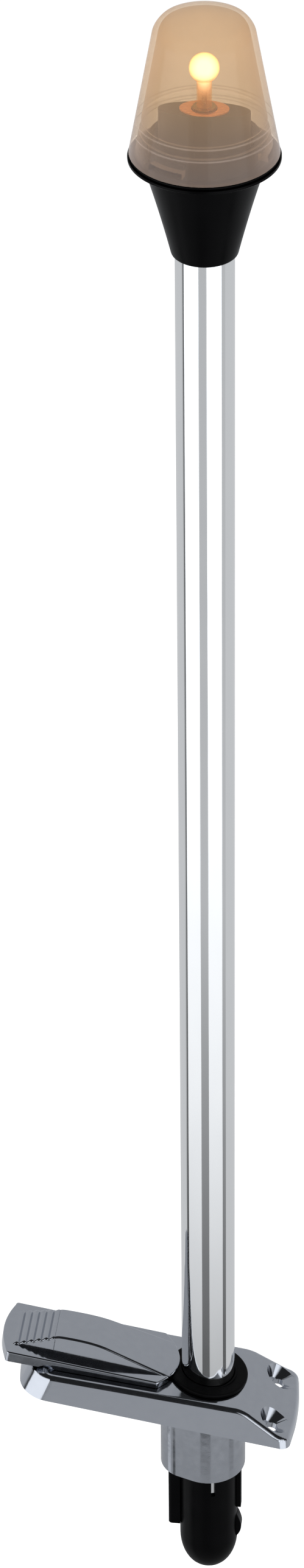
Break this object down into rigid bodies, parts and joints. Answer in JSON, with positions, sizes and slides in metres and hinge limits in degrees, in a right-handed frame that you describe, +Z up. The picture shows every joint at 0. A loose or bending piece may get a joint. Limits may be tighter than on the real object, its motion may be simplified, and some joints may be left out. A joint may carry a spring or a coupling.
{
  "type": "navigation light",
  "caption": "All-round boat light: lamp head on a chromed plug-in pole, in a raked deck socket with a sliding cover.",
  "frame": {"origin": "where the pole's axis meets the deck plane under the base", "axes": "+Z up along the pole, +X along the base towards its screw flange, +Y across the base"},
  "size_m": [0.126, 0.0562, 0.7444],
  "materials": {
    "globe_plastic": "lightly frosted clear plastic, lit warm",
    "clear_glass": "clear glass",
    "chrome": "bright chrome plate on a casting",
    "polished_tube": "polished tube, bright",
    "black_plastic": "moulded, semi-gloss",
    "black_rubber": "moulded, matt",
    "copper": "plain copper sheet, lit by the bulb",
    "brass": "turned and stamped brass",
    "steel": "plain stainless",
    "tungsten": "glowing filament",
    "phenolic": "moulded phenolic",
    "red_wire": "wire insulation",
    "black_wire": "wire insulation"
  },
  "bodies": {
    "base": {"base_casting": "chrome", "collar_ring": "black_rubber", "socket_body": "black_plastic", "socket_latch": "black_plastic", "contact_block": "phenolic", "contact_sleeve_live": "brass", "contact_sleeve_return": "brass"},
    "pole": {"pole_tube": "polished_tube", "plug_body": "phenolic", "plug_pin_live": "brass", "plug_pin_return": "brass", "wire_grommet": "black_rubber", "wire_live": "red_wire", "wire_return": "black_wire", "lamp_housing": "black_plastic", "lamp_pedestal": "black_plastic", "lamp_plate": "copper", "lamp_sleeve": "brass", "contact_spring": "steel", "pedestal_screw_1": "steel", "pedestal_screw_2": "steel", "housing_screw": "steel", "globe_seal": "black_rubber"},
    "globe": {"globe": "globe_plastic"},
    "bulb": {"bulb_cap": "brass", "bulb_glass": "clear_glass", "bulb_mount": "steel", "bulb_filament": "tungsten"},
    "contact": {"lamp_contact": "brass"},
    "cover": {"cover": "chrome", "cover_rivet_1": "steel", "cover_rivet_2": "steel", "cover_retainer": "steel", "cover_spring": "steel"}
  },
  "joints": [
    {"name": "pole_lift", "type": "slide", "parent": "base", "child": "pole", "axis": [0, 0, 1], "range_m": [0, 0.085]},
    {"name": "cover_slide", "type": "slide", "parent": "base", "child": "cover", "axis": [-0.9895, 0, 0.1444], "range_m": [0, 0.006]},
    {"name": "globe_twist", "type": "hinge", "parent": "pole", "child": "globe", "pos_m": [0, 0, 0.5932], "axis": [0, 0, 1], "range_deg": [0, 60]},
    {"name": "bulb_twist", "type": "hinge", "parent": "pole", "child": "bulb", "pos_m": [0, 0, 0.5932], "axis": [0, 0, 1], "range_deg": [-20, 0]},
    {"name": "contact_press", "type": "slide", "parent": "pole", "child": "contact", "axis": [0, 0, -1], "range_m": [0, 0.0012], "stiffness_N_per_m": 400, "deforming": ["contact_spring"]}
  ]
}
